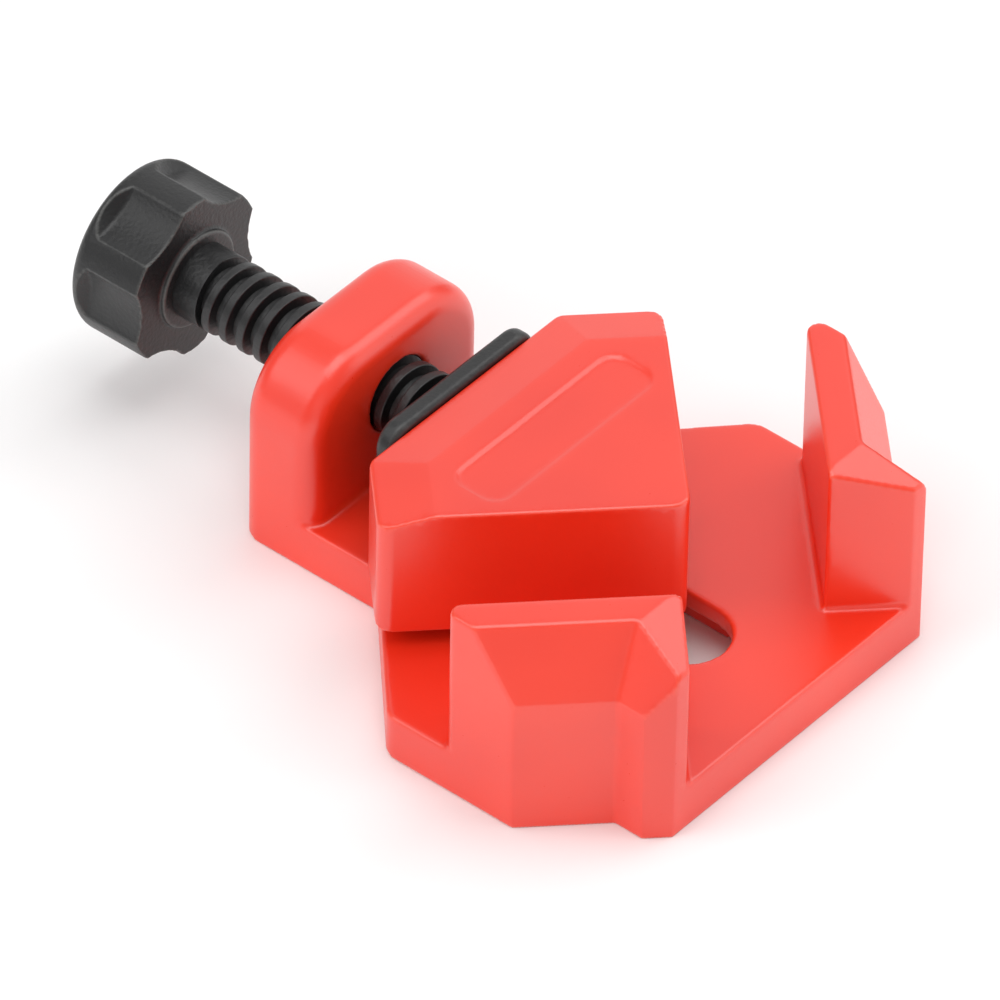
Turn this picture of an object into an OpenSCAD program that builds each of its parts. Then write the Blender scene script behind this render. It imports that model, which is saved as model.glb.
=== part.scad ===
// Right-angle corner clamp: moulded base with two fences, sliding corner jaw on a carriage,
// and a knobbed clamp screw that turns in the base's post and moves the carriage.
// The screw axis lies along Y, the fence corner points to -Y, the base stands on Z = 0.

/* [Base] */
// Width of the base over its two flat sides
base_w = 76; // [70:1:84]
// Length of the base from front edge to post
base_l = 81; // [79:0.5:96]
// Thickness of the base plate
plate_t = 7.2; // [6.5:0.1:9]
// Skin left above the honeycomb
skin_t = 2; // [1.5:0.1:3]
// Width of the rim wall round the underside
rim_t = 2.4; // [1.8:0.1:3.2]
// Width of a honeycomb rib
rib_t = 1.9; // [1.4:0.1:2.6]
// Spacing of the honeycomb cells
cell_pitch = 13.2; // [11:0.1:16]

/* [Fences] */
// Height of the fences above the ground
fence_h = 31; // [26:0.5:40]
// Thickness of a fence at its foot
fence_t = 9.9; // [8.5:0.1:11]
// Width of the flat strip along a fence's top
fence_top = 4.9; // [3.5:0.1:6]
// Height at which a fence's outer slope starts
fence_shoulder = 21.4; // [15:0.1:24]
// Distance of the inner corner point in front of the front edge
corner_lead = 7; // [5:0.1:9]
// Thickness of a fence's walls round its hollow
wall_t = 2.2; // [1.6:0.1:2.8]

/* [Post] */
// Width of the post
post_w = 35.2; // [32:0.1:40]
// Depth of the post along the screw
post_d = 12.4; // [11:0.1:13]
// Height of the post
post_h = 31.2; // [29:0.1:40]
// Radius of the post's two top corners
post_r = 11; // [6:0.5:13]
// Height of the screw axis
axis_h = 19.9; // [19.5:0.1:22]

/* [Slot] */
// Width of the guide slot
slot_w = 12.1; // [11:0.1:14]
// Width of the channel under the slot
channel_w = 17; // [16:0.1:20]
// Depth of the channel from below
channel_h = 4.2; // [3.6:0.1:5]

/* [Jaw] */
// Height of the jaw's flat top
jaw_top = 29.5; // [28:0.1:38]
// Half width of the jaw over its two side corners
jaw_half = 28.9; // [25:0.1:32]
// Length of each short side face
jaw_side = 13.7; // [10:0.1:14]
// Distance from the front edge back to the jaw's point, as shown
jaw_set = 18.8; // [17:0.1:20]
// Radius of the jaw's upright edges
jaw_r = 2.2; // [1:0.1:3]
// Depth of the recessed panel on top
panel_d = 0.3; // [0.2:0.1:1]

/* [Carriage] */
// Thickness of the pusher plate
pusher_t = 3; // [2.4:0.1:3.6]
// Width of the pusher plate
pusher_w = 29.6; // [26:0.1:32]
// Height of the pusher plate's top edge
pusher_top = 28.4; // [27:0.1:36]
// Thickness of the sole under the jaw
sole_t = 1.9; // [1.6:0.1:3]

/* [Screw] */
// Outside diameter of the screw
screw_d = 11; // [10:0.1:12]
// Diameter of the knob over its lobes
knob_d = 25.2; // [24:0.1:30]
// Length of the knob
knob_l = 11.6; // [10.6:0.1:16]
// Radius of each finger scallop
scallop_r = 10; // [7:0.1:12]
// Depth of each finger scallop
scallop_d = 1.7; // [1:0.1:2.2]

/* [Hidden] */
$fn = 64;
// Running clearance round a turning shaft
run_c = 0.08;
// Sliding clearance between carriage and base, and the end play of the screw
slide_c = 0.35;
// Clearance round the jaw's key
fix_c = 0.1;
// Small overlap that joins features of one moulding, and the overshoot of a cutter
eps = 0.05;
over = 1;
far = 200;
rt2 = sqrt(2);
half_w = base_w / 2;
post_half = post_w / 2;
post_front = base_l - post_d;
axis_bore = screw_d / 2 + run_c;
// Space from post to knob and overall length as shown, which put the origin at the middle
knob_gap = 23;
knob_end = base_l + knob_gap + knob_l;
front_y = -knob_end / 2;
// Plan distances of the outline, measured back from the front edge
fence_out = corner_lead + fence_t * rt2;
knuckle_out = fence_out + 4.5;
step_x = knuckle_out + 2.95;
end_sum = 23;
side_rear = half_w + 0.1;
waist_y = side_rear + (half_w - post_half) * 0.93;
turn = atan2(half_w - post_half, waist_y - side_rear);
// Rounds of the side corner, the waist, the post's edges and the fence's thin rear edge
corner_r = 3.2;
fillet_r = 2.6;
post_edge = 3.2;
tail_r = 1.7;
corner_t = corner_r * tan(turn / 2);
fillet_t = fillet_r * tan(turn / 2);
tail_y = half_w - corner_lead;
tail_c = tail_y - (1 + rt2) * tail_r;
tail_s = (1 + 1 / rt2) * tail_r;
// Run of the knuckle's slope, and the slope on the fence's front end
knuckle_run = 5.5;
nose_run = 8.7;
nose_angle = 22;
// Web and pin boss inside the fence's hollow
web_sum = 44;
web_x = 29;
boss_r = 1.4;
pin_r = 1;
// First row of honeycomb cells
comb_y = 36.4;
// Guide slot, channel and the low ledge at the channel's front
slot_front = 12.9;
slot_rear = 55.6;
ledge_h = 2;
ledge_end = 20;
// Cored pockets in the post
core_h = 11;
core_wall = 2.2;
core_x = 6.5;
core_mid = 2.9;
// Jaw corner points and hollow
jaw_y2 = jaw_set + jaw_half;
jaw_x3 = jaw_half - jaw_side / rt2;
jaw_y3 = jaw_y2 + jaw_side / rt2;
sole_z = plate_t + slide_c;
jaw_z = sole_z + sole_t;
jaw_wall = 2.6;
bevel_w = 7.5;
bevel_h = 2;
core_top = jaw_top - bevel_h - jaw_wall;
panel_w = 33.4;
panel_l = 8.6;
panel_r = 3;
panel_y = jaw_y2 - 5.8;
// Carriage foot, neck and key
foot_y = 42;
foot_l = 10;
foot_w = 15;
foot_z = 0.3;
foot_r = 2;
foot_t = channel_h - foot_z - slide_c;
neck_d = 10;
key_w = 16;
key_l = 14;
key_h = 6;
sole_lead = 12;
pusher_y = jaw_y3;
pusher_rear = pusher_y + pusher_t;
pusher_r = 3.6;
pusher_edge = 1;
collar_r = 7;
collar_h = 0.6;
// Screw head, journal and knob
head_r = 4.6;
head_l = 2.2;
journal_r = 3.6;
hub_r = 7.2;
hub_h = 0.8;
knob_r = knob_d / 2;
knob_y = knob_end - knob_l;
shoulder_r = 1.8;
scallop_x = knob_r - scallop_d + scallop_r;
scallop_run = 1.6;
scallop_end = 1.2;
lobes = 6;
spoke_t = 1.8;
pocket_in = 5.2;
pocket_out = knob_r - scallop_d - 1;
pocket_d = 6;
hole_r = 2.9;

// Places a shape by its distance back from the base's front edge
module from_front() {
    translate([0, front_y, 0]) children();
}

// Both a shape and its mirror image about the screw axis
module both_sides() {
    children();
    mirror([1, 0, 0]) children();
}

// Turns a shape drawn along Z so that it lies along the screw axis, pointing to the knob
module on_axis(y) {
    translate([0, y, axis_h]) rotate([-90, 0, 0]) children();
}

// Face of an upright slab: a rectangle with its two top corners rounded
module slab_face(x, top, r) {
    translate([-x, 0]) square([2 * x, top - r]);
    translate([r - x, 0]) square([2 * (x - r), top]);
    translate([r - x, top - r]) circle(r);
    translate([x - r, top - r]) circle(r);
}

// Upright slab facing along Y with two round top corners and soft front and rear edges
module soft_slab(w, h, d, r, e) {
    x = w / 2 - e;
    top = h - e;
    ri = r - e;
    translate([0, d - e, 0]) rotate([90, 0, 0]) linear_extrude(d - 2 * e) slab_face(w / 2, h, r);
    translate([0, d, 0]) rotate([90, 0, 0]) linear_extrude(d) slab_face(x, top, ri);
    for (y = [e, d - e]) {
        both_sides() {
            translate([x, y, 0]) cylinder(r = e, h = top - ri);
            translate([x - ri, y, top - ri]) rotate([90, 0, 0])
                rotate_extrude(angle = 90) translate([ri, 0]) circle(e);
        }
        translate([ri - x, y, top]) rotate([0, 90, 0]) cylinder(r = e, h = 2 * (x - ri));
    }
}

// Half of the base's plan outline, with rounded side and rear corners and a filleted waist
module half_outline() {
    polygon([
        [0, 0], [knuckle_out, 0], [step_x, step_x - knuckle_out], [step_x, step_x - fence_out],
        [half_w, half_w - fence_out], [half_w, side_rear - corner_t],
        [half_w - corner_r, side_rear - corner_t],
        [half_w - corner_t * sin(turn), side_rear + corner_t * cos(turn)], [post_half, waist_y],
        [post_half, base_l - post_edge], [post_half - post_edge, base_l - post_edge],
        [post_half - post_edge, base_l], [0, base_l]
    ]);
    translate([half_w - corner_r, side_rear - corner_t]) circle(corner_r);
    translate([post_half - post_edge, base_l - post_edge]) circle(post_edge);
    difference() {
        polygon([
            [post_half, waist_y],
            [post_half + fillet_t * sin(turn), waist_y - fillet_t * cos(turn)],
            [post_half + fillet_r, waist_y + fillet_t], [post_half, waist_y + fillet_t]
        ]);
        translate([post_half + fillet_r, waist_y + fillet_t]) circle(fillet_r);
    }
}

// Half of the space inside the rim
module half_inside() {
    polygon([
        [-eps, rim_t], [knuckle_out - 0.4 * rim_t, rim_t],
        [half_w - rim_t, half_w - fence_out + rim_t],
        [half_w - rim_t, side_rear - 0.5 * rim_t], [post_half - rim_t, waist_y - 0.5 * rim_t],
        [post_half - rim_t, post_front - 1], [-eps, post_front - 1]
    ]);
}

// Obround of given width between two end points along Y
module obround(w, y0, y1) {
    translate([0, y0 + w / 2]) circle(w / 2);
    translate([0, y1 - w / 2]) circle(w / 2);
    translate([-w / 2, y0 + w / 2]) square([w, y1 - y0 - w]);
}

// Rectangle with round corners, centred on X and on a distance y
module round_rect(w, l, r, y) {
    translate([-w / 2, y - l / 2 + r]) square([w, l - 2 * r]);
    translate([r - w / 2, y - l / 2]) square([w - 2 * r, l]);
    for (sx = [-1, 1])
        for (sy = [-1, 1])
            translate([sx * (w / 2 - r), y + sy * (l / 2 - r)]) circle(r);
}

// Plan of the fence on the +X side, its thin rear edge rounded
module fence_plan() {
    polygon([
        [end_sum, 0], [knuckle_out, 0], [step_x, step_x - knuckle_out], [step_x, step_x - fence_out],
        [half_w, half_w - fence_out], [half_w, tail_c], [half_w - tail_r, tail_c],
        [half_w - tail_s, tail_y - tail_s],
        [(end_sum + corner_lead) / 2 - over / 2, (end_sum - corner_lead) / 2 + over / 2]
    ]);
    translate([half_w - tail_r, tail_c]) circle(tail_r);
}

// Sweeps a fence section, drawn outward from the inner face, along the +X side's 45 degree line
module along_fence() {
    translate([corner_lead, 0, 0]) rotate([0, 0, 45]) translate([-far / 4, 0, 0])
        rotate([90, 0, 90]) linear_extrude(far) children();
}

// One fence with its outer slope
module fence_wall() {
    along_fence() polygon([
        [0, 0], [0, fence_h], [-fence_top, fence_h], [-fence_t, fence_shoulder], [-fence_t, 0]
    ]);
}

// Thicker knuckle at the fence's front end, its slope running along the screw axis
module knuckle() {
    intersection() {
        translate([0, step_x, 0]) rotate([90, 0, 0]) linear_extrude(step_x + over) polygon([
            [0, 0], [0, fence_h], [step_x - knuckle_run, fence_h], [step_x, fence_shoulder], [step_x, 0]
        ]);
        linear_extrude(fence_h + over) polygon([
            [corner_lead, 0], [knuckle_out, 0], [step_x, step_x - knuckle_out],
            [step_x, step_x - corner_lead]
        ]);
    }
}

// Fence and knuckle, cut square at the front end and sloped down toward the front edge
module fence() {
    difference() {
        intersection() {
            union() {
                fence_wall();
                knuckle();
            }
            linear_extrude(fence_h + over) fence_plan();
        }
        translate([-over, nose_run, fence_h]) rotate([nose_angle, 0, 0])
            translate([0, -far / 4, 0]) cube([base_w, far / 4, far / 4]);
    }
}

// Hollow under one fence, in two cells with a web and a pin boss between
module fence_pockets() {
    intersection() {
        translate([0, 0, -over]) along_fence() polygon([
            [-wall_t, 0], [-wall_t, fence_h - wall_t], [0.3 - fence_top, fence_h - wall_t],
            [wall_t - fence_t, fence_shoulder], [wall_t - fence_t, 0]
        ]);
        translate([0, 0, -over]) linear_extrude(fence_h) difference() {
            polygon([
                [end_sum + wall_t * rt2 - rim_t, rim_t], [knuckle_out - wall_t, rim_t],
                [half_w - rim_t, half_w - fence_out + rim_t], [half_w - rim_t, half_w],
                [(end_sum + corner_lead) / 2, (end_sum - corner_lead) / 2 + wall_t * rt2]
            ]);
            translate([web_sum, 0]) rotate(45) translate([-rib_t / 2, 0]) square([rib_t, far]);
            translate([web_x, web_sum - web_x]) circle(boss_r);
        }
    }
}

// Honeycomb cells on a lattice that is symmetric about the screw axis
module honeycomb() {
    cell_r = (cell_pitch - rib_t) / 2 / cos(30);
    for (c = [-3:1])
        for (r = [-3:3])
            translate([(r + (c % 2 == 0 ? 0.5 : 0)) * cell_pitch, comb_y + c * cell_pitch * cos(30)])
                rotate(30) circle(cell_r, $fn = 6);
}

// Ribs that fan out from the slot's rear end to the post, with two pin bosses
module fan_ribs() {
    translate([-rib_t / 2, slot_rear - 4]) square([rib_t, 20]);
    both_sides() {
        translate([2.2, slot_rear + 2]) rotate(-22) translate([-rib_t / 2, -3]) square([rib_t, 20]);
        translate([5.6, slot_rear + 1]) rotate(-37) translate([-rib_t / 2, -3]) square([rib_t, 24]);
        translate([6.5, slot_rear + 6]) circle(pin_r);
    }
}

// Plan of the space that lies behind both fences' inner faces
module behind_fences() {
    both_sides() polygon([
        [-eps, -corner_lead], [0, -corner_lead], [far, far - corner_lead], [-eps, far]
    ]);
}

// Cells under the plate that are open from below, drawn inside the rim
module all_cells() {
    intersection() {
        both_sides() half_inside();
        behind_fences();
        union() {
            honeycomb();
            difference() {
                translate([-post_half, slot_rear + 2]) square([post_w, post_front - slot_rear]);
                fan_ribs();
            }
        }
    }
}

// Channel with its rim wall
module channel_rim() {
    obround(channel_w + 2 * rib_t, slot_front - 2 - rib_t, slot_rear + 2.4 + rib_t);
}

// Part of the rim wall that is lowered so the front cells open into the channel
module front_ledge() {
    intersection() {
        all_cells();
        obround(channel_w + 3 * rib_t, slot_front - 2 - 1.5 * rib_t, slot_rear);
        translate([-half_w, 0]) square([base_w, ledge_end]);
    }
}

module base() {
    color("red") from_front() difference() {
        union() {
            linear_extrude(plate_t) both_sides() half_outline();
            both_sides() fence();
            translate([0, post_front, 0]) soft_slab(post_w, post_h, post_d, post_r, post_edge);
        }
        both_sides() fence_pockets();
        translate([0, 0, -over]) linear_extrude(plate_t - skin_t + over) difference() {
            all_cells();
            channel_rim();
        }
        translate([0, 0, -over]) linear_extrude(ledge_h + over) front_ledge();
        translate([0, 0, -over]) linear_extrude(plate_t + 2 * over) obround(slot_w, slot_front, slot_rear);
        translate([0, 0, -over]) linear_extrude(channel_h + over)
            obround(channel_w, slot_front - 2, slot_rear + 2.4);
        // Screw bore and the post's three cored pockets
        on_axis(post_front - over) cylinder(r = axis_bore, h = post_d + 2 * over);
        translate([-core_mid, post_front + core_wall, -over])
            cube([2 * core_mid, post_d - 2 * core_wall, core_h + over]);
        both_sides() translate([core_x, post_front + core_wall, -over])
            cube([post_half - core_wall - core_x, post_d - 2 * core_wall, core_h + over]);
    }
}

// Jaw plan with rounded corners, drawn inward by a margin
module jaw_plan(m) {
    r = jaw_r;
    t = r * tan(22.5);
    y1 = jaw_set + m * rt2;
    x2 = jaw_half - m * rt2;
    x3 = jaw_x3 - m * tan(22.5);
    y3 = jaw_y3 - m;
    polygon([
        [0, y1 + r * rt2], [r / rt2, y1 + r / rt2], [x2 - r / rt2, jaw_y2 - r / rt2],
        [x2 - r * rt2, jaw_y2], [x2 - r / rt2, jaw_y2 + r / rt2],
        [x3 + t / rt2, y3 - t / rt2], [x3 - t, y3 - r], [x3 - t, y3],
        [t - x3, y3], [t - x3, y3 - r], [-x3 - t / rt2, y3 - t / rt2],
        [r / rt2 - x2, jaw_y2 + r / rt2], [r * rt2 - x2, jaw_y2], [r / rt2 - x2, jaw_y2 - r / rt2],
        [-r / rt2, y1 + r / rt2]
    ]);
    translate([0, y1 + r * rt2]) circle(r);
    both_sides() {
        translate([x2 - r * rt2, jaw_y2]) circle(r);
        translate([x3 - t, y3 - r]) circle(r);
    }
}

// Cutter that lowers the top toward an edge facing local +Y
module bevel_cut() {
    translate([-far / 2, -bevel_w, 0]) rotate([-atan(bevel_h / bevel_w), 0, 0])
        cube([far, far / 2, far / 4]);
}

// Hollow of the jaw from below, round the key's block, the screw head's block and a cross of ribs
module jaw_core() {
    difference() {
        jaw_plan(jaw_wall);
        translate([-key_w / 2 - jaw_wall, foot_y - key_l / 2 - jaw_wall])
            square([key_w + 2 * jaw_wall, key_l + 2 * jaw_wall]);
        translate([-head_r - 3, jaw_y3 - 6]) square([2 * head_r + 6, 6]);
        translate([-rib_t / 2, jaw_set]) square([rib_t, jaw_y3 - jaw_set]);
        translate([-jaw_half, foot_y - rib_t / 2]) square([2 * jaw_half, rib_t]);
    }
}

module jaw() {
    color("red") from_front() difference() {
        translate([0, 0, jaw_z]) linear_extrude(jaw_top - jaw_z) jaw_plan(0);
        translate([0, jaw_y3, jaw_top]) bevel_cut();
        both_sides() translate([jaw_half, jaw_y2, jaw_top]) rotate([0, 0, -45]) bevel_cut();
        translate([0, 0, jaw_top - panel_d]) linear_extrude(panel_d + over)
            round_rect(panel_w, panel_l, panel_r, panel_y);
        translate([0, 0, jaw_z - over]) linear_extrude(core_top - jaw_z + over) jaw_core();
        // Socket for the carriage's key and room for the screw's head
        translate([-key_w / 2 - fix_c, foot_y - key_l / 2 - fix_c, jaw_z - over])
            cube([key_w + 2 * fix_c, key_l + 2 * fix_c, key_h + fix_c + over]);
        on_axis(jaw_y3 - head_l - 1.4) cylinder(r = head_r + 0.6, h = head_l + 1.4 + over);
    }
}

module carriage() {
    color("black") from_front() difference() {
        union() {
            translate([0, pusher_y, sole_z])
                soft_slab(pusher_w, pusher_top - sole_z, pusher_t, pusher_r, pusher_edge);
            translate([0, 0, sole_z]) linear_extrude(sole_t) intersection() {
                jaw_plan(jaw_wall / 2);
                translate([-pusher_w / 2, foot_y - sole_lead]) square([pusher_w, far]);
            }
            translate([pusher_edge - pusher_w / 2, pusher_y - pusher_t, sole_z])
                cube([pusher_w - 2 * pusher_edge, pusher_t + 1, sole_t]);
            translate([-key_w / 2, foot_y - key_l / 2, sole_z + eps]) cube([key_w, key_l, sole_t + key_h]);
            translate([0, foot_y, foot_z]) cylinder(r = neck_d / 2, h = sole_z + 1 - foot_z);
            translate([0, 0, foot_z]) linear_extrude(foot_t) round_rect(foot_w, foot_l, foot_r, foot_y);
            on_axis(pusher_rear - eps) cylinder(r = collar_r, h = collar_h + eps);
        }
        on_axis(pusher_y - over) cylinder(r = journal_r + run_c, h = pusher_t + collar_h + 2 * over);
    }
}

// Pockets in the knob's end, between a rim, a hub and spokes
module end_pockets() {
    difference() {
        circle(pocket_out);
        circle(pocket_in);
        for (k = [0:lobes - 1])
            rotate((k + 0.5) * 360 / lobes) translate([0, -spoke_t / 2]) square([knob_r, spoke_t]);
    }
}

// Finger scallop along the knob that runs out in a cone before the rear edge
module scallop() {
    run_z = knob_l - scallop_end - scallop_run;
    translate([scallop_x, 0, -over]) cylinder(r = scallop_r, h = run_z + over);
    translate([scallop_x, 0, run_z - eps])
        cylinder(r1 = scallop_r, r2 = scallop_r - scallop_d - eps, h = scallop_run + eps);
}

// Lobed knob with a rounded rear shoulder
module knob_body() {
    difference() {
        rotate_extrude() {
            square([knob_r, knob_l - shoulder_r]);
            square([knob_r - shoulder_r, knob_l]);
            translate([knob_r - shoulder_r, knob_l - shoulder_r]) circle(shoulder_r);
        }
        for (k = [0:lobes - 1]) rotate(k * 360 / lobes) scallop();
    }
}

module clamp_screw() {
    color("black") from_front() difference() {
        union() {
            on_axis(pusher_y - slide_c - head_l) cylinder(r = head_r, h = head_l);
            on_axis(pusher_y - slide_c - eps)
                cylinder(r = journal_r, h = pusher_t + collar_h + 2 * slide_c + 1);
            on_axis(pusher_rear + collar_h + slide_c)
                cylinder(r = screw_d / 2, h = knob_y + 1 - pusher_rear - collar_h - slide_c);
            on_axis(knob_y - hub_h) cylinder(r = hub_r, h = hub_h + 1);
            on_axis(knob_y) knob_body();
        }
        on_axis(knob_end - pocket_d) linear_extrude(pocket_d + over) end_pockets();
        on_axis(knob_end - pocket_d) cylinder(r = hole_r, h = pocket_d + over);
    }
}

base();
jaw();
carriage();
clamp_screw();
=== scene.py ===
import math

import bmesh
import bpy
import numpy as np
from mathutils import Matrix, Vector
from mathutils.bvhtree import BVHTree


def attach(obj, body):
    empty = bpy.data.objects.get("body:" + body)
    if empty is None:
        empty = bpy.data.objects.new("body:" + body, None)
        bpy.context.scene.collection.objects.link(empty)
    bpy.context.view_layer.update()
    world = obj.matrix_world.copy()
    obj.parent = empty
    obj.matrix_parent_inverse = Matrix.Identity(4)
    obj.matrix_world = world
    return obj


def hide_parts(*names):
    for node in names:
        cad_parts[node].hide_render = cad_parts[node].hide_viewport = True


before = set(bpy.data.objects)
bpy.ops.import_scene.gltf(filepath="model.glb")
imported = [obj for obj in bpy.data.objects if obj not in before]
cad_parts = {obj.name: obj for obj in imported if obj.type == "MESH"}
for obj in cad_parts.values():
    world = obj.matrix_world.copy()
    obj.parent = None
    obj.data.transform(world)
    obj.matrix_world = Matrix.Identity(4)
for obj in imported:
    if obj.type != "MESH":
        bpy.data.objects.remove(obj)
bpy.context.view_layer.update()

# Base
# One red ABS moulding: plate, two hollow fences, the post and the ribs below.
# It comes out of a polished steel mould, so its faces are satin and its edges a little round.


def srgb(code):
    """Linear colour of an sRGB hex value."""
    parts = [int(code[i : i + 2], 16) / 255 for i in (0, 2, 4)]
    return [p / 12.92 if p <= 0.04045 else ((p + 0.055) / 1.055) ** 2.4 for p in parts] + [1.0]


def add(tree, kind, links=(), **settings):
    """Adds a node; settings name its properties or inputs, links give (input, from socket)."""
    node = tree.nodes.new(kind)
    for key, value in settings.items():
        if hasattr(node, key):
            setattr(node, key, value)
        else:
            node.inputs[key.replace("_", " ")].default_value = value
    for name, source in links:
        tree.links.new(source, node.inputs[name])
    return node


def moulded_plastic(name, light, dark, highlight_colour, rough, shine, grain_mm, relief_mm):
    """Plastic toned by the melt's flow, with the mould's grain and a painted highlight on its
    edges.
    """
    flow_mm = 30
    gloss_spread = 0.05
    material = bpy.data.materials.new(name)
    material.use_nodes = True
    tree = material.node_tree
    shader = tree.nodes["Principled BSDF"]
    place = add(tree, "ShaderNodeTexCoord").outputs["Object"]

    flow = add(tree, "ShaderNodeTexNoise", [("Vector", place)], Scale=1000 / flow_mm, Detail=2.0)
    tone = add(tree, "ShaderNodeValToRGB", [("Fac", flow.outputs["Fac"])])
    low, high = tone.color_ramp.elements
    low.position, low.color = 0.35, srgb(dark)
    high.position, high.color = 0.65, srgb(light)

    grain = add(tree, "ShaderNodeTexNoise", [("Vector", place)], Scale=1000 / grain_mm, Detail=3.0)
    grain_height = grain.outputs["Fac"]
    relief = add(
        tree,
        "ShaderNodeBump",
        [("Height", grain_height)],
        Strength=0.35,
        Distance=relief_mm / 1000,
    )
    gloss = add(
        tree,
        "ShaderNodeMapRange",
        [("Value", grain_height)],
        To_Min=rough - gloss_spread,
        To_Max=rough + gloss_spread,
    )

    # The bend paints each rounded edge paler: a painted highlight along the edges.
    bend = add(tree, "ShaderNodeAttribute", attribute_name="bend")
    highlight_ramp = add(tree, "ShaderNodeValToRGB", [("Fac", bend.outputs["Fac"])])
    flat, edge = highlight_ramp.color_ramp.elements
    flat.position, edge.position = 0.2, 0.8

    # The Mix node repeats its sockets for each kind of value, so those for colours go by number.
    factor, first, second, blended = 0, 6, 7, 2
    colour = add(
        tree,
        "ShaderNodeMix",
        [(factor, highlight_ramp.outputs["Color"]), (first, tone.outputs["Color"])],
        data_type="RGBA",
    )
    colour.inputs[second].default_value = srgb(highlight_colour)
    tree.links.new(colour.outputs[blended], shader.inputs["Base Color"])
    tree.links.new(relief.outputs["Normal"], shader.inputs["Normal"])
    tree.links.new(gloss.outputs["Result"], shader.inputs["Roughness"])
    shader.inputs["IOR"].default_value = 1.53
    shader.inputs["Specular IOR Level"].default_value = shine
    return material


def merged(node):
    """The node's CAD triangles as one closed shape."""
    weld = 2e-6
    shape = bmesh.new()
    shape.from_mesh(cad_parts[node].data)
    bmesh.ops.remove_doubles(shape, verts=shape.verts, dist=weld)
    return shape


def as_made(piece):
    """A new mesh of the piece with its modifiers applied."""
    made = piece.evaluated_get(bpy.context.evaluated_depsgraph_get())
    return bpy.data.meshes.new_from_object(made)


def moulded_skin(name, solid, cell_mm, passes, triangles):
    """A moulding's skin: the solid with true faces, and its edges and corners a little round."""
    face_reach = 3e-5
    true_faces = BVHTree.FromBMesh(solid)
    mesh = bpy.data.meshes.new(name)
    solid.to_mesh(mesh)
    solid.free()
    piece = bpy.data.objects.new(name, mesh)
    bpy.context.collection.objects.link(piece)
    cells = piece.modifiers.new("fine cells", "REMESH")
    cells.mode = "VOXEL"
    cells.voxel_size = cell_mm / 1000
    soften = piece.modifiers.new("round edges", "SMOOTH")
    soften.factor = 0.5
    soften.iterations = passes
    skin = as_made(piece)
    for corner in skin.vertices:
        on_face, _, _, away = true_faces.find_nearest(corner.co)
        if away < face_reach:
            corner.co = on_face
    piece.modifiers.clear()
    piece.data = skin

    # The cells are four-sided, so each one makes two triangles.
    thin = piece.modifiers.new("fewer triangles", "DECIMATE")
    thin.ratio = min(1.0, triangles / (2 * len(skin.polygons)))
    piece.data = as_made(piece)
    piece.modifiers.clear()
    piece.data.name = name
    piece.data.materials.clear()
    piece.data.shade_smooth()
    even = piece.modifiers.new("even faces", "WEIGHTED_NORMAL")
    even.weight = 100
    even.keep_sharp = True
    return piece


def mark_edges(piece, radius_mm):
    """Stores each point's outward bend: 0 on a flat, 1 on an edge of the radius or less."""
    mesh = piece.data
    points = np.empty((len(mesh.vertices), 3), np.float32)
    normals = np.empty((len(mesh.vertices), 3), np.float32)
    ends = np.empty((len(mesh.edges), 2), np.int32)
    mesh.vertices.foreach_get("co", points.ravel())
    mesh.vertices.foreach_get("normal", normals.ravel())
    mesh.edges.foreach_get("vertices", ends.ravel())
    both_ways = (ends.T, ends.T[::-1])
    total, count = np.zeros(len(points)), np.zeros(len(points))
    for here, there in both_ways:
        step = points[here] - points[there]
        curve = 2 * (normals[here] * step).sum(axis=1) / (step**2).sum(axis=1)
        np.add.at(total, here, curve)
        np.add.at(count, here, 1)
    neighbours = np.maximum(count, 1)
    bend = np.clip(2 * total / neighbours * radius_mm / 1000, 0, 1)

    # Two rounds of averaging take out the specks that single points would leave.
    for _ in range(2):
        around = np.zeros(len(points))
        for here, there in both_ways:
            np.add.at(around, here, bend[there])
        bend = (bend + around / neighbours) / 2
    stored = mesh.attributes.new("bend", "FLOAT", "POINT")
    stored.data.foreach_set("value", bend.astype(np.float32))


# Red moulded ABS gives a deep opaque red, greyed by a satin gloss on faces that mirror the light.
# The polished mould's grain is finer than the render shows, so it is drawn at 0.4 mm.
# Its edges are painted paler, a painted highlight along every rounded edge.
red_abs = moulded_plastic(
    "red moulded ABS",
    light="F1361B",
    dark="E72D14",
    highlight_colour="F24A31",
    rough=0.3,
    shine=1.0,
    grain_mm=0.4,
    relief_mm=0.025,
)
base = moulded_skin("base_moulding", merged("base"), cell_mm=0.35, passes=5, triangles=150000)
mark_edges(base, radius_mm=0.3)
base.data.materials.append(red_abs)
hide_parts("base")
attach(base, "base")

# Carriage
# One black glass-filled nylon moulding that guides the jaw: pusher plate, sole, key, neck and foot.
# Its foot goes down through the slot and is turned a quarter turn under the plate.

# Black moulded nylon gives a near black, duller than the ABS, with edges painted grey as a painted
# highlight.
# Its eroded mould leaves a grain of about 0.1 mm, drawn coarser and deeper here so that it shows.
black_nylon = moulded_plastic(
    "black moulded nylon",
    light="131314",
    dark="0D0D0E",
    highlight_colour="4C4C4A",
    rough=0.42,
    shine=0.65,
    grain_mm=0.6,
    relief_mm=0.2,
)
carriage = moulded_skin(
    "carriage_moulding", merged("carriage"), cell_mm=0.25, passes=4, triangles=50000
)
mark_edges(carriage, radius_mm=0.3)
carriage.data.materials.append(black_nylon)
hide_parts("carriage")
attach(carriage, "slider")

# Jaw
# The red ABS moulding with the right-angled point that presses on the boards.
# It drops over the carriage's key, and its top has a shallow bare panel.
jaw = moulded_skin("jaw_moulding", merged("jaw"), cell_mm=0.3, passes=6, triangles=50000)
mark_edges(jaw, radius_mm=0.3)
jaw.data.materials.append(red_abs)
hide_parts("jaw")
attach(jaw, "slider")

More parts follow.
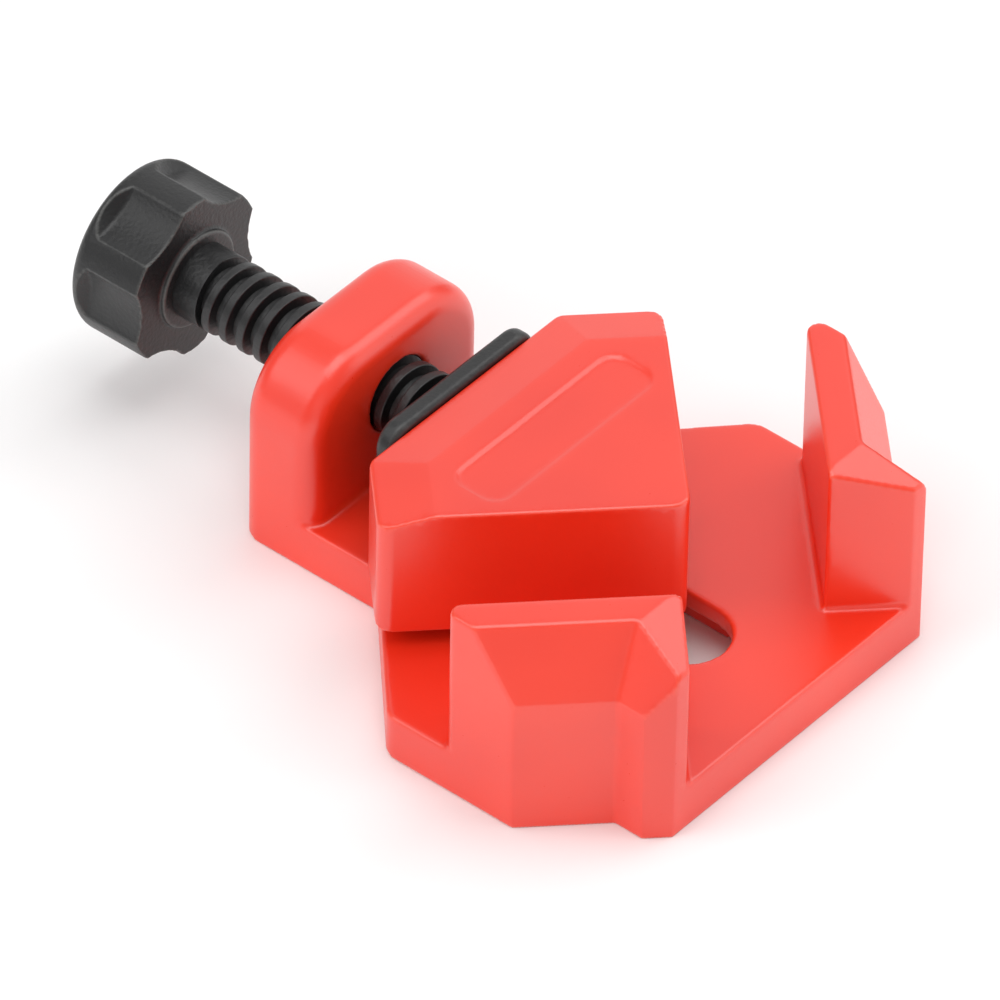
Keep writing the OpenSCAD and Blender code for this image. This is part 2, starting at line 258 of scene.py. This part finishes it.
# Clamp screw
# One black nylon moulding: a coarse thread, a lobed finger knob and a head held in the carriage.
# The thread runs in the post and stops at a plain neck in front of the knob.
axis_z = 0.0199
crest_r, root_r, pitch = 0.0055, 0.0042, 0.003
neck_r, neck_l = 0.00552, 0.004
thread_start, hub_front = 0.0053, 0.0454
into_core, into_neck, into_hub = 0.0004, 0.001, 0.0004

# The thread is a rounded trapezoid swept along a helix, upright and then laid along the screw.
sizes = {
    "Pitch": pitch,
    "Turns": (hub_front - neck_l + into_neck - thread_start) / pitch,
    "Middle Radius": (crest_r + root_r - into_core) / 2,
    "Depth": crest_r - root_r + into_core,
    "Crest Width": 0.0013,
    "Foot Width": 0.0021,
    "Edge Radius": 0.00022,
}
helix = bpy.data.node_groups.new("moulded thread", "GeometryNodeTree")
helix.is_modifier = True
for label in sizes:
    helix.interface.new_socket(label, in_out="INPUT", socket_type="NodeSocketFloat")
helix.interface.new_socket("Material", in_out="INPUT", socket_type="NodeSocketMaterial")
helix.interface.new_socket("Geometry", in_out="OUTPUT", socket_type="NodeSocketGeometry")
given = helix.nodes.new("NodeGroupInput").outputs
rise = add(
    helix,
    "ShaderNodeMath",
    [(0, given["Pitch"]), (1, given["Turns"])],
    operation="MULTIPLY",
)
path = add(
    helix,
    "GeometryNodeCurveSpiral",
    [
        ("Rotations", given["Turns"]),
        ("Start Radius", given["Middle Radius"]),
        ("End Radius", given["Middle Radius"]),
        ("Height", rise.outputs[0]),
    ],
    Resolution=72,
)
level = add(helix, "GeometryNodeSetCurveNormal", [("Curve", path.outputs[0])], mode="Z_UP")
ridge = add(
    helix,
    "GeometryNodeCurvePrimitiveQuadrilateral",
    [
        ("Height", given["Depth"]),
        ("Bottom Width", given["Foot Width"]),
        ("Top Width", given["Crest Width"]),
    ],
    mode="TRAPEZOID",
    Offset=0.0,
)
eased = add(
    helix,
    "GeometryNodeFilletCurve",
    [("Curve", ridge.outputs[0]), ("Radius", given["Edge Radius"])],
    mode="POLY",
    Count=3,
)
facing = add(
    helix,
    "GeometryNodeTransform",
    [("Geometry", eased.outputs[0])],
    Rotation=(0, 0, math.radians(90)),
)
swept = add(
    helix,
    "GeometryNodeCurveToMesh",
    [("Curve", level.outputs[0]), ("Profile Curve", facing.outputs[0])],
    Fill_Caps=True,
)
laid = add(
    helix,
    "GeometryNodeTransform",
    [("Geometry", swept.outputs[0])],
    Rotation=(math.radians(-90), 0, 0),
    Translation=(0, thread_start, axis_z),
)
real = add(helix, "GeometryNodeRealizeInstances", [("Geometry", laid.outputs[0])])
painted = add(
    helix,
    "GeometryNodeSetMaterial",
    [("Geometry", real.outputs[0]), ("Material", given["Material"])],
)
result = helix.nodes.new("NodeGroupOutput")
helix.links.new(painted.outputs[0], result.inputs["Geometry"])

thread = bpy.data.objects.new("thread", bpy.data.meshes.new("thread"))
bpy.context.collection.objects.link(thread)
grow = thread.modifiers.new("thread", "NODES")
grow.node_group = helix
for item in helix.interface.items_tree:
    if item.in_out == "INPUT":
        grow[item.identifier] = sizes.get(item.name, black_nylon)
thread_mesh = as_made(thread)
bpy.data.objects.remove(thread)

# The CAD spindle is at crest size, so it is drawn in to the thread's root.
radius_slack, length_slack = 3e-5, 1e-5
solid = merged("clamp_screw")
for corner in solid.verts:
    off = math.hypot(corner.co.x, corner.co.z - axis_z)
    if abs(off - crest_r) < radius_slack and corner.co.y < hub_front + length_slack:
        corner.co.x *= root_r / off
        corner.co.z = axis_z + (corner.co.z - axis_z) * root_r / off
screw = moulded_skin("clamp_screw_moulding", solid, cell_mm=0.21, passes=5, triangles=150000)
mark_edges(screw, radius_mm=0.3)
shape = bmesh.new()
shape.from_mesh(screw.data)
shape.from_mesh(thread_mesh)
bmesh.ops.create_cone(
    shape,
    cap_ends=True,
    segments=96,
    radius1=neck_r,
    radius2=neck_r,
    depth=neck_l + into_hub,
    matrix=Matrix.Translation((0, hub_front - neck_l / 2 + into_hub / 2, axis_z))
    @ Matrix.Rotation(math.radians(90), 4, "X"),
)
shape.to_mesh(screw.data)
shape.free()
screw.data.shade_smooth()
screw.data.set_sharp_from_angle(angle=math.radians(50))
screw.data.materials.append(black_nylon)
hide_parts("clamp_screw")
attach(screw, "screw")

# Studio
# A plain pale floor that keeps the shadow, a white surround and soft lamps round the clamp.
# The lamps stand where the photograph's gloss and shading place them.

# White studio paper gives a matt, pale ground.
paper = bpy.data.materials.new("white studio paper")
paper.use_nodes = True
sheet = paper.node_tree.nodes["Principled BSDF"]
sheet.inputs["Base Color"].default_value = srgb("FAFAFA")
sheet.inputs["Roughness"].default_value = 0.9

# It lies a hair below the base, so that the two faces don't meet.
half, level_z = 6, -5e-5
corners = [(x * half, y * half, level_z) for x, y in ((-1, -1), (1, -1), (1, 1), (-1, 1))]
mesh = bpy.data.meshes.new("floor")
mesh.from_pydata(corners, [], [(0, 1, 2, 3)])
floor = bpy.data.objects.new("floor", mesh)
floor.data.materials.append(paper)
bpy.context.collection.objects.link(floor)

world = bpy.data.worlds.new("white surround")
bpy.context.scene.world = world
world.use_nodes = True
surround = world.node_tree.nodes["Background"]
surround.inputs["Color"].default_value = srgb("FFFFFF")
surround.inputs["Strength"].default_value = 0.35


def soft_lamp(name, place, size, power, mirrored=True):
    """A square soft box that looks at the clamp; one that isn't mirrored gives no gloss."""
    middle = Vector((0, 0, 0.015))
    lamp = bpy.data.lights.new(name, "AREA")
    lamp.size = size
    lamp.energy = power
    holder = bpy.data.objects.new(name, lamp)
    holder.location = place
    holder.rotation_euler = (middle - Vector(place)).to_track_quat("-Z", "Y").to_euler()
    holder.visible_glossy = mirrored
    bpy.context.collection.objects.link(holder)


soft_lamp("key soft box", (0.645, -0.149, 0.88), size=0.6, power=2.0)
soft_lamp("left soft box", (-0.6, 0.43, 0.82), size=0.8, power=2.5)
soft_lamp("back soft box", (0.78, 0.65, 0.48), size=1.0, power=1.8)
soft_lamp("right soft box", (0.8, -0.65, 0.4), size=1.0, power=2.2)
soft_lamp("overhead soft box", (0, 0, 0.9), size=0.6, power=2.6)
soft_lamp("right fill", (0.5, -0.9, 0.4), size=0.6, power=2.0, mirrored=False)
soft_lamp("front fill", (-0.75, -0.62, 0.4), size=0.6, power=2.6, mirrored=False)
soft_lamp("left fill", (-0.8, 0.5, 0.35), size=0.6, power=2.4, mirrored=False)

# Camera
# The photograph's camera, in the place and turn that it has as seen from this clamp.
# Its long lens is framed so that the clamp fills the picture.
camera = bpy.data.objects.new("camera", bpy.data.cameras.new("camera"))
camera.location = (-1.18286, -0.97371, 1.38710)
camera.rotation_mode = "QUATERNION"
camera.rotation_quaternion = (0.829377, 0.365714, -0.177974, -0.383030)
camera.data.sensor_width = 36
camera.data.lens = 562.47
camera.data.clip_start, camera.data.clip_end = 0.05, 50
bpy.context.collection.objects.link(camera)
bpy.context.scene.camera = camera
bpy.context.scene.view_settings.view_transform = "Standard"
